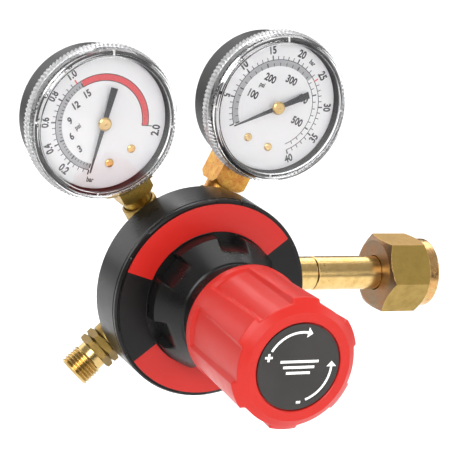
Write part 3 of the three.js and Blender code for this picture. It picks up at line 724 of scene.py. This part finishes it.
def make_lens(prefix, place):
    profile = rounded(
        [
            (0, -3.6), (31.2, -3.6, 0.9), (32.4, -2.7, 0.9), (33.1, -0.7, 1.0), (33.3, 2.2, 0.3),
            (33.9, 2.5, 0.2), (34.2, 3.0, 0.3), (34.2, 6.3, 0.3), (33.8, 6.8, 0.2), (31.3, 6.8),
            (31.3, -0.3), (29.7, -0.3), (29.7, -2.0, 0.3), (0, -1.9),
        ]
    )
    angles = np.linspace(0, 2 * np.pi, RIBS * 6, endpoint=False)
    wave = 0.5 - 0.5 * np.cos(RIBS * angles)
    rows = []
    for r, y in profile:
        rr = r - (RIB_DEPTH if r > RIB_FOOT else 0.0) * wave
        rows.append(np.stack((rr * np.cos(angles), np.full(len(angles), y), rr * np.sin(angles)), -1))
    piece = closed_grid(prefix + "_window", np.array(rows), place)
    smooth(piece, 40)

    def chooser(centre, normal):
        radius = math.hypot(centre.x, centre.z)
        if radius > 33.25 and centre.y > 2.0:
            return 2
        return 1 if radius > 29.5 else 0

    finish_piece(piece, "regulator", [WINDOW, RIM, SKIRT], [prefix + "_lens"], chooser)


def make_case(prefix, place, angle):
    profile = rounded(
        [
            (0, 25), (24, 25, 0.5), (28.4, 24.6, 2.5), (31, 21.4, 3.0), (31, 0.3, 0.2), (30.8, 0, 0.1),
            (29.9, 0, 0.1), (29.8, 0.3, 0.1), (29.8, 21.6), (27.6, 23.8), (0, 23.8),
        ]
    )
    piece = turned(prefix + "_cup", profile, place)
    upright = place @ Matrix.Rotation(-math.pi / 2, 4, "Y")
    stem_hole = prism("stem_hole", rectangle(10.1, 19.7, -4.8, 4.8), -36, -20, upright, along="x")
    combine(piece, "DIFFERENCE", stem_hole)
    weigh(smooth(piece, 35))
    finish_piece(piece, "regulator", CASE_BLACK, [prefix + "_case"])
    # Light notches in the cup's front edge, where the lens is keyed to it.
    keys = [angle - 90 + 90 * k for k in range(4)]
    notches = [quad for key in keys for quad in band(key - 0.9, key + 0.9, 29.9, 30.95)]
    print_layer(prefix + "_cup_keys", notches, -0.02, place, "regulator", INK_WHITE)


def make_dial(prefix, place):
    profile = rounded([(1.6, 4.1), (1.6, 3.5), (28.6, 3.5, 0.1), (29.2, 3.6, 0.2), (29.2, 4.1)])
    piece = turned(prefix + "_dial_plate", profile, place)
    smooth(piece)
    finish_piece(piece, "regulator", DIAL_WHITE, [prefix + "_dial"])


INNER, OUTER = 18.4, 21.3  # edges of the scale band
LINE_HALF = 0.16
SCALE_START, SCALE_END = -135, 135  # degrees from the dial's top
LOW_END = 127  # of the low dial's lines
PSI_PER_BAR = 14.5038
LOW_PSI_STEP, HIGH_BAR_STEP = 9, 6.75  # degrees per unit
BOLD_TICK, THIN_TICK = 0.6, 0.34


def tick_width(is_long):
    return BOLD_TICK if is_long else THIN_TICK


def circle_line(start, end, radius):
    return band(start, end, radius - LINE_HALF, radius + LINE_HALF)


def low_scale():
    """0 to 15 psi over half of 270 degrees, its bar marks outside, and a red band on to 2 bar."""

    def bar_angle(value):
        return SCALE_START + LOW_PSI_STEP * value * PSI_PER_BAR

    black, grey, red = [], [], []
    grey += band(SCALE_START, 0, INNER, OUTER)
    red += band(1.0, LOW_END, INNER + 0.15, OUTER - 0.15)
    black += circle_line(SCALE_START, LOW_END, OUTER)
    black += circle_line(0, LOW_END, INNER)
    black += [tick(0, INNER, OUTER, 0.35), tick(LOW_END, INNER, OUTER + 1.9, 0.4)]
    for k in range(31):
        is_long = k % 6 == 0
        foot, top = (INNER, INNER + 1.9) if is_long else (INNER + 0.2, INNER + 1.3)
        black.append(tick(SCALE_START + LOW_PSI_STEP / 2 * k, foot, top, tick_width(is_long)))
    for k in range(21):
        is_long = k % 4 == 0
        shape = tick(bar_angle(0.05 * k), OUTER, OUTER + (2.0 if is_long else 1.5), tick_width(is_long))
        (red if k == 20 else black).append(shape)
    for value in (0.2, 0.4, 0.6, 0.8, 1.0):
        black += around(f"{value:.1f}", 4.6, 25.8, bar_angle(value))
    black += around("2.0", 5.0, 25.4, 131)
    for value in (3, 6, 9, 12, 15):
        black += lettering(str(value), 4.4, polar(14.8, SCALE_START + LOW_PSI_STEP * value))
    black += lettering("psi", 3.0, polar(11.2, -66))
    black += around("bar", 3.0, 25.4, -139)
    return black, grey, red


def high_scale():
    """0 to 40 bar round 270 degrees, with psi inside."""
    psi_end = 28  # degrees, where the inner scale's band stops
    psi_step = HIGH_BAR_STEP / PSI_PER_BAR
    black, grey, red = [], [], []
    grey += band(SCALE_START, psi_end, INNER, OUTER)
    black += circle_line(SCALE_START, SCALE_END, OUTER)
    black += circle_line(psi_end, SCALE_END, INNER)
    for k in range(41):
        is_long = k % 5 == 0
        angle = SCALE_START + HIGH_BAR_STEP * k
        shape = tick(angle, OUTER, OUTER + (2.1 if is_long else 1.6), tick_width(is_long))
        (red if k == 25 else black).append(shape)
    for k in range(29):
        is_long = k % 5 == 0
        angle = SCALE_START + psi_step * 20 * k
        black.append(tick(angle, INNER, INNER + (2.0 if is_long else 1.5), tick_width(is_long)))
    for value in range(5, 45, 5):
        black += around(str(value), 4.8, 25.7, SCALE_START + HIGH_BAR_STEP * value)
    for value in (100, 200, 300, 400, 500):
        black += lettering(str(value), 4.7, polar(13.4, SCALE_START + psi_step * value))
    black += lettering("psi", 3.0, polar(12.6, -62))
    black += around("bar", 2.9, 25.4, 15)
    return black, grey, red


def make_print(prefix, place):
    black, grey, red = (low_scale if prefix == "low" else high_scale)()
    for layer, shapes, lift, look in (
        ("grey", grey, 0.02, INK_GREY),
        ("red", red, 0.03, INK_RED),
        ("black", black, 0.05, INK_BLACK),
    ):
        name = f"{prefix}_dial_{layer}"
        print_layer(name, shapes, DIAL_DEPTH - lift, place, "regulator", look)


SCREW_X, SCREW_Z = 5.7, -17.5
SCREW_TURNS = {"left": 35, "right": -20}  # of their slots, degrees


def make_dial_screws(prefix, place):
    profile = rounded(
        [(0, 2.45), (1.3, 2.45, 0.5), (1.85, 2.85, 0.3), (1.85, 3.3), (0.9, 3.3), (0.9, 7.0), (0, 7.0)]
    )
    for side, x in (("left", -SCREW_X), ("right", SCREW_X)):
        spot = place @ Matrix.Translation((x * MM, 0, SCREW_Z * MM))
        piece = turned(f"{prefix}_face_screw_{side}", profile, spot, segments=40)
        turn = Matrix.Rotation(math.radians(SCREW_TURNS[side]), 4, "Y")
        combine(piece, "DIFFERENCE", prism("slot", rectangle(-3, 3, -0.36, 0.36), 2, 3.0, spot @ turn))
        smooth(piece, 35)
        finish_piece(piece, "regulator", SMALL_BRASS, [f"{prefix}_dial_screw_{side}"])


def make_pointer(prefix, place):
    turn = place @ Matrix.Rotation(math.radians(SCALE_START), 4, "Y")
    right = [(0.3, 22.1), (0.95, 3.2), (1.1, -3.4), (1.62, -15.9)]
    outline = [(-0.3, 22.1), *right, *[(-x, z) for x, z in right[:0:-1]]]
    blade = prism(prefix + "_needle", outline, 1.12, 1.48, turn)
    bevel(blade, 0.08, 2)
    smooth(blade)
    body = prefix + "_pointer_assembly"
    finish_piece(blade, body, POINTER_BLACK, [prefix + "_pointer"])
    profile = rounded(
        [
            (0, -0.05), (0.35, -0.05, 0.1), (0.55, -0.28, 0.1), (2.3, -0.3, 0.5), (2.98, 0.25, 0.4),
            (2.98, 0.9, 0.1), (0.75, 0.9), (0.75, 2), (0, 2),
        ]
    )
    hub = turned(prefix + "_needle_hub", profile, place, segments=SMALL)
    weigh(smooth(hub, 40))
    finish_piece(hub, body, SMALL_BRASS, [prefix + "_pointer_hub"])


SOCKET_HALF, SOCKET_FOOT = 7.8, 42.3  # half its width, and its foot's distance from the gauge's centre


def make_socket(prefix, place, look):
    """The square brass block between the case and the body."""
    depth = (middle(prefix + "_socket").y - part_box(prefix + "_case")[0].y) / MM
    # In this frame X runs down the stem, from the gauge's centre to the body.
    down = place @ Matrix.Translation((0, depth * MM, 0)) @ Matrix.Rotation(math.pi / 2, 4, "Y")
    half, foot = SOCKET_HALF, SOCKET_FOOT

    def along_stem(name, points, segments):
        return turned(name, points, down, along="x", segments=segments)

    block = prism(prefix + "_stem", rectangle(-half, half, -half, half), 26, foot, down, along="x")
    cone = [(0, 20), (14, 20), (11.8, foot - 3.0), (8.9, foot + 0.01), (0, foot + 0.01)]
    combine(block, "INTERSECT", along_stem("cone", cone, 96))
    seat = turned("seat", [(0, -3), (31.2, -3), (31.2, 27), (0, 27)], place, segments=128)
    combine(block, "DIFFERENCE", seat)
    neck = prism("neck", rectangle(-4.5, 4.5, -4.5, 4.5), 17, 33, down, along="x")
    tail = [(0, foot - 1), (6.7, foot - 1), (6.2, foot + 14), (0, foot + 14)]
    combine(block, "UNION", neck, along_stem("tail", tail, 48))
    # brighter brass on the rounded edges: partly wear, partly a painted highlight
    bevel(block, 0.35, 3, worn_and_highlight=1)
    weigh(smooth(block))
    finish_piece(block, "regulator", [look, SMALL_BRASS], [prefix + "_socket"])


def make_gauge(prefix):
    place, angle = gauge_place(prefix), gauge_angle(prefix)
    make_case(prefix, place, angle)
    make_dial(prefix, place)
    make_print(prefix, place)
    make_dial_screws(prefix, place)
    make_pointer(prefix, place)
    make_lens(prefix, place)
    make_socket(prefix, place, SOCKET_OLIVE if prefix == "low" else SOCKET_COPPER)


# ---- body, inlet and outlet ----

STEM_R = 7.9
STUB_END = 67.0  # where the stem begins


def make_body():
    forging = rounded(
        [
            (0, 50), (20.5, 50, 1.2), (25, 47.8, 1.8), (27, 43.5, 1.6), (27, 29.4, 2.5), (38, 25.5, 1.5),
            (40.8, 23.4, 0.8), (41.8, 22.4, 0.5), (41.8, 14), (33, 14), (33, 18.5), (7, 18.5), (7, 31),
            (5, 31), (5, 43), (0, 43),
        ]
    )
    body = turned("body_forging", forging, FRONT)

    def boss(radius, end, place):
        profile = rounded([(0, 20), (radius, 20), (radius, end, 0.8), (0, end)])
        return turned("boss", profile, place, along="x", segments=SMALL)

    stub = rounded(
        [
            (0, 20), (11, 20), (11, 50, 1.5), (7.8, 55, 1.5), (7.8, STUB_END - 0.15, 0.3),
            (5.8, STUB_END - 0.15), (5.8, 49), (0, 49),
        ]
    )
    inlet = turned("inlet_boss", stub, INLET, along="x", segments=96)
    gauge_y = middle("low_socket").y
    gauge_ports = [port(gauge_y, gauge_angle(prefix)) for prefix in ("low", "high")]
    gauge_bosses = [boss(8.0, 40.3, place) for place in gauge_ports]
    combine(body, "UNION", inlet, boss(8.1, 44.4, OUTLET), *gauge_bosses)
    for radius, place in ((7.0, gauge_ports[0]), (7.0, gauge_ports[1]), (5.3, OUTLET)):
        hole = [(0, 29), (radius, 29), (radius, 46), (0, 46)]
        combine(body, "DIFFERENCE", turned("mouth", hole, place, along="x", segments=48))
    bevel(body, 0.5, 3, 40)
    weigh(smooth(body, 35))

    def chooser(centre, normal):
        """The stub is turned, the rest is as cast."""
        return 1 if centre.x > 51 and abs(centre.z) < 9 else 0

    finish_piece(body, "regulator", [CAST, STEM], ["body"], chooser)


def make_nipple():
    profile = rounded(
        [
            (2.2, 50), (5.5, 50), (5.5, STUB_END + 0.3), (7.6, STUB_END + 0.3, 0.2),
            (STEM_R, STUB_END + 0.6, 0.2), (STEM_R, 109), (9.9, 109, 0.3), (9.9, 113, 0.5),
            (8.6, 115, 0.5), (8.6, 119.5, 1.5), (7.4, 122.5, 2.0), (5.6, 124, 0.6), (4.8, 124),
            (4.8, 112), (2.2, 112),
        ]
    )
    piece = turned("inlet_stem", profile, INLET, along="x")
    weigh(smooth(piece, 40))
    finish_piece(piece, "regulator", STEM, ["inlet_nipple"])


NUT_REAR, NUT_HEX_END, NUT_MOUTH, NUT_FLAT = 100.8, 122.6, 128.0, 16.35
CHAMFER_FOOT, CHAMFER_ANGLE = 15.2, 30  # the hexagon's chamfers: radius where they begin, degrees


def make_nut():
    corner = NUT_FLAT * 2 / math.sqrt(3)
    wide = corner + 0.3
    rise = (wide - CHAMFER_FOOT) * math.tan(math.radians(CHAMFER_ANGLE))
    profile = rounded(
        [
            (8.35, NUT_REAR, 0.1), (CHAMFER_FOOT, NUT_REAR, 0.3), (wide, NUT_REAR + rise),
            (wide, NUT_HEX_END - rise), (16.0, NUT_HEX_END), (16.0, NUT_MOUTH - 0.8, 0.8),
            (15.2, NUT_MOUTH, 0.5), (11.2, NUT_MOUTH, 0.2), (10.5, NUT_MOUTH - 0.7), (10.5, 108.7),
            (8.7, 108.7), (8.7, NUT_REAR + 3), (8.2, NUT_REAR + 2.5), (8.2, NUT_REAR + 0.15),
        ]
    )
    blank = turned("inlet_nut_body", profile, INLET, along="x", segments=180)
    hexagon = prism("hexagon", hexagon_points(corner), 100, NUT_HEX_END, INLET, along="x")
    core = [(0, 100), (16.02, 100), (16.02, 129), (0, 129)]
    combine(hexagon, "UNION", turned("core", core, INLET, along="x", segments=180))
    combine(blank, "INTERSECT", hexagon)
    # brighter brass on the rounded edges: partly wear, partly a painted highlight
    bevel(blank, 0.3, 3, 28, worn_and_highlight=4)
    weigh(smooth(blank, 32))

    def chooser(centre, normal):
        """Faced and chamfered ends, then the collar and bore, then the flats; the top flat takes a lighter
        brass, painted light from above.
        """
        if abs(normal.x) > 0.35 and centre.x < NUT_HEX_END - 3:
            return 2
        if centre.x > NUT_HEX_END - 0.4 or math.hypot(centre.y, centre.z) < 12:
            return 3
        return 1 if normal.z > 0.7 else 0

    looks = [DRAWN, DRAWN_LIT_TOP, FACED, COLLAR, SMALL_BRASS]
    finish_piece(blank, "nut", looks, ["inlet_nut"], chooser)


OUTLET_FLAT = 7.95
HEX_START, HEX_END, OUTLET_TIP = 44.6, 51.9, 64.6
THREADS, THREAD_START, PITCH, CREST, ROOT = 6, 55.1, 1.5, 7.7, 6.9


def make_outlet():
    """A hexagon with a groove round its middle, a plain neck and a thread of separate ridges."""
    corner = OUTLET_FLAT * 2 / math.sqrt(3)
    wide = corner + 0.1
    groove = (HEX_START + HEX_END) / 2
    profile = [
        (2.2, 30.5), (5, 30.5), (5, HEX_START), (7.8, HEX_START, 0.2), (wide, HEX_START + 0.7),
        (wide, groove - 0.75, 0.3), (7.6, groove - 0.1), (7.6, groove + 0.1), (wide, groove + 0.75, 0.3),
        (wide, HEX_END - 0.7), (7.8, HEX_END, 0.2), (6.8, HEX_END), (6.8, THREAD_START - 0.2, 0.2),
    ]
    for k in range(THREADS):
        at = THREAD_START + 0.25 + k * PITCH
        profile += [(ROOT, at, 0.06), (CREST, at + 0.45 * PITCH, 0.06), (CREST, at + 0.6 * PITCH, 0.06)]
    profile += [
        (7.0, OUTLET_TIP - 0.3, 0.2), (6.8, OUTLET_TIP, 0.2), (4.4, OUTLET_TIP, 0.2), (2.2, OUTLET_TIP - 4)
    ]
    blank = turned("outlet_body", rounded(profile, 3), OUTLET, along="x", segments=96)
    hexagon = prism("hexagon", hexagon_points(corner), HEX_START - 0.1, HEX_END + 0.1, OUTLET, along="x")
    for start, end in ((30, HEX_START + 0.05), (HEX_END - 0.05, 66)):
        core = [(0, start), (8.6, start), (8.6, end), (0, end)]
        combine(hexagon, "UNION", turned("core", core, OUTLET, along="x", segments=96))
    combine(blank, "INTERSECT", hexagon)
    bevel(blank, 0.18, 2, 34)
    weigh(smooth(blank, 34))

    def chooser(centre, normal):
        return 1 if HEX_START < centre.x < HEX_END else 0

    finish_piece(blank, "regulator", [THREAD, THREAD_HEX], ["outlet_fitting"], chooser)


# ---- springs and diaphragm ----

COIL_STEPS, WIRE_STEPS = 48, 16  # per turn, and round the wire
GROUND = 0.2  # of the wire's diameter, how far a ground end lies below the wire's middle


def make_spring(node, mean, wire, turns):
    """A compression spring with a closed, ground turn at each end."""
    low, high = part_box(node)
    front, rear = ((y - LABEL_FACE_Y) / MM for y in (low.y, high.y))
    stations = np.linspace(0, turns, int(turns * COIL_STEPS) + 1)
    lift = wire * 1.02
    first, last = front + GROUND * wire, rear - GROUND * wire
    y = np.interp(stations, [0, 1, turns - 1, turns], [first, first + lift, last - lift, last])[:, None]
    turn = 2 * np.pi * stations[:, None]
    section = np.linspace(0, 2 * np.pi, WIRE_STEPS, endpoint=False)[None, :]
    r = mean + wire / 2 * np.cos(section)
    y = np.clip(y + wire / 2 * np.sin(section), front, rear)
    grid = np.stack((r * np.cos(turn), y, r * np.sin(turn)), -1)
    n, m = grid.shape[:2]
    faces = grid_faces(n, m) + [tuple(range(m)), tuple(range(n * m - 1, (n - 1) * m - 1, -1))]
    piece = mesh_object(node + "_coil", grid.reshape(-1, 3), faces, FRONT)
    smooth(piece, 50)
    finish_piece(piece, "regulator", STEEL, [node])
    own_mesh(piece)


SECTORS, SECTOR_STEPS = 6, 12
BEAD_START, BEAD_END, BEAD_HEIGHT = 24, 33, 0.9  # a flexible bead between the plate and the rim
STILL_R, MOVED_R = 28.9, 23.2  # along a sector's middle; a sector's edge lies further out
DIAPHRAGM_RADII = (3.2, 10, 17, 22, *range(BEAD_START, BEAD_END + 2), 37)


def make_diaphragm():
    """Six fixed sectors of the diaphragm, which in the regulator is clamped at its rim and follows the plate
    in the middle.
    """
    low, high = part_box("diaphragm")
    y0, y1 = ((y - LABEL_FACE_Y) / MM for y in (low.y, high.y))
    radii = np.array([*DIAPHRAGM_RADII, (high.x - low.x) / 2 / MM])
    share = (radii - BEAD_START) / (BEAD_END - BEAD_START)
    bead = BEAD_HEIGHT * np.clip(np.sin(share * np.pi), 0, 1) * ((share > 0) & (share < 1))
    outline = [*zip(radii, y1 + bead), *zip(radii[::-1], y0 + bead[::-1])]
    m = len(outline)
    faces = grid_faces(SECTOR_STEPS + 1, m)
    for s in (0, SECTOR_STEPS * m):
        faces += [(s + j, s + j + 1, s + m - 2 - j, s + m - 1 - j) for j in range(m // 2 - 1)]
    centre = Vector((AXIS.x, (low.y + high.y) / 2, AXIS.z))
    half = math.pi / SECTORS
    for k in range(SECTORS):
        angles = 2 * half * k + np.linspace(-half, half, SECTOR_STEPS + 1)
        verts = [(r * math.cos(a), y, r * math.sin(a)) for a in angles for r, y in outline]
        piece = mesh_object(f"diaphragm_sector_{k + 1}", verts, faces, FRONT)
        smooth(piece, 40)
        finish_piece(piece, None, RUBBER, ["diaphragm"])
        outward = Vector((math.cos(2 * half * k), 0, math.sin(2 * half * k))) * MM
        start, end = (tuple(centre + outward * r) for r in (STILL_R, MOVED_R))
        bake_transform(piece)
        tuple(start)
        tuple(end)


# ---- CAD nodes that keep their shape ----

CARRIED = {
    "knob_screw": STEEL, "adjusting_screw": SMALL_BRASS, "spring_button": STEEL, "slip_ring": STEEL,
    "diaphragm_plate": STEEL, "seat_nozzle": SMALL_BRASS, "valve_poppet": SMALL_BRASS,
    "poppet_seat": RUBBER, "inlet_filter": BRONZE,
}
GAUGE_INSIDE = ("bourdon_tube", "tip_link", "sector_gear", "arbor", "movement_front", "movement_back")


def dress_carried():
    looks = dict(CARRIED)
    looks.update({f"{prefix}_{part}": SMALL_BRASS for prefix in ("low", "high") for part in GAUGE_INSIDE})
    for node, look in looks.items():
        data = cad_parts[node].data
        data.materials.clear()
        data.materials.append(look)


# ---- studio ----


def area_light(name, place, target, size, power, size_y=None):
    light = bpy.data.lights.new(name, "AREA")
    light.shape = "RECTANGLE"
    light.size, light.size_y = size, size_y or size
    light.energy = power
    lamp = add_object(name, light)
    lamp.location = place
    lamp.rotation_euler = (Vector(target) - Vector(place)).to_track_quat("-Z", "Y").to_euler()


# (height on the sky from 0, straight down, to 1, straight up; brightness)
SKY = ((0.0, 0.35), (0.46, 0.35), (0.50, 0.07), (0.56, 0.07), (0.62, 0.35), (0.85, 0.50), (1.0, 0.60))


def make_world():
    """A soft grey room with a dark band round the horizon, which the brass mirrors."""
    world = bpy.data.worlds.new("studio")
    bpy.context.scene.world = world
    world.use_nodes = True
    tree = world.node_tree
    kinds = ("ShaderNodeTexCoord", "ShaderNodeSeparateXYZ", "ShaderNodeMapRange", "ShaderNodeValToRGB")
    coords, split, height, ramp = (tree.nodes.new(kind) for kind in kinds)
    height.inputs["From Min"].default_value = -1
    background = tree.nodes["Background"]
    background.inputs["Strength"].default_value = 1.0
    tree.links.new(coords.outputs["Generated"], split.inputs[0])
    tree.links.new(split.outputs["Z"], height.inputs["Value"])
    tree.links.new(height.outputs[0], ramp.inputs["Fac"])
    tree.links.new(ramp.outputs[0], background.inputs["Color"])
    while len(ramp.color_ramp.elements) < len(SKY):
        ramp.color_ramp.elements.new(0.5)
    for element, (at, value) in zip(ramp.color_ramp.elements, SKY):
        element.position = at
        element.color = (value, value, value, 1)


FLOOR_DROP = 0.16  # m below the object, so that only a faint shadow reaches the view
FLOOR_REACH = 6000  # mm, from the object


def make_studio():
    low, high = cad_box
    centre = (low + high) / 2
    floor_z = low.z - FLOOR_DROP
    x, y = centre.x / MM, centre.y / MM
    corners = rectangle(x - FLOOR_REACH, x + FLOOR_REACH, y - FLOOR_REACH, y + FLOOR_REACH)
    verts = [(*corner, 0) for corner in corners]
    floor = mesh_object("floor", verts, [(0, 1, 2, 3)], Matrix.Translation((0, 0, floor_z)), merge=False)
    look = Look("floor_paper", Roughness=0.8, Specular_IOR_Level=0.1)
    look.set("Base Color", look.ramp(look.noise(60), (0.3, (0.93, 0.93, 0.93)), (0.7, (0.95, 0.95, 0.95))))
    floor.data.materials.append(look.material)
    make_world()
    x, y, z = centre
    area_light("key", (x - 0.75, y - 0.8, z + 0.6), centre, 0.6, 11)
    area_light("fill", (x + 0.35, y - 1.2, z + 0.25), centre, 0.5, 5)
    area_light("top", (x + 0.1, y + 0.1, z + 0.95), centre, 0.7, 5)
    area_light("side", (x + 0.95, y - 0.3, z + 0.25), centre, 0.3, 3, 0.8)
    area_light("back", (x - 0.3, y + 0.9, z + 0.35), centre, 0.8, 4)
    area_light("floor_wash", (x + 1.1, y + 2.3, z + 2.2), (x + 1.2, y + 2.6, floor_z), 3.0, 80)


CAMERA_PLACE = (-0.4967, -0.7505, 0.2525)
CAMERA_FORWARD, CAMERA_RIGHT = (0.4451, 0.8558, -0.2635), (0.8955, -0.4255, 0.1307)
CAMERA_LENS = 152.8


def make_camera():
    camera = bpy.data.cameras.new("camera")
    camera.lens = CAMERA_LENS
    camera.sensor_width = 36
    camera.clip_start, camera.clip_end = 0.01, 50
    view = add_object("camera", camera)
    forward, right = Vector(CAMERA_FORWARD).normalized(), Vector(CAMERA_RIGHT)
    right = (right - forward * right.dot(forward)).normalized()
    rotation = Matrix((right, right.cross(forward), -forward)).transposed().to_4x4()
    view.matrix_world = Matrix.Translation(CAMERA_PLACE) @ rotation
    bpy.context.scene.camera = view


make_camera()
make_bonnet()
make_label()
make_knob()
make_insert()
for gauge in ("low", "high"):
    make_gauge(gauge)
make_body()
make_nipple()
make_nut()
make_outlet()
make_spring("adjusting_spring", mean=13, wire=3.2, turns=6.5)
make_spring("poppet_spring", mean=2.6, wire=0.6, turns=8)
make_diaphragm()
dress_carried()
make_studio()
bpy.context.scene.view_settings.view_transform = "Standard"
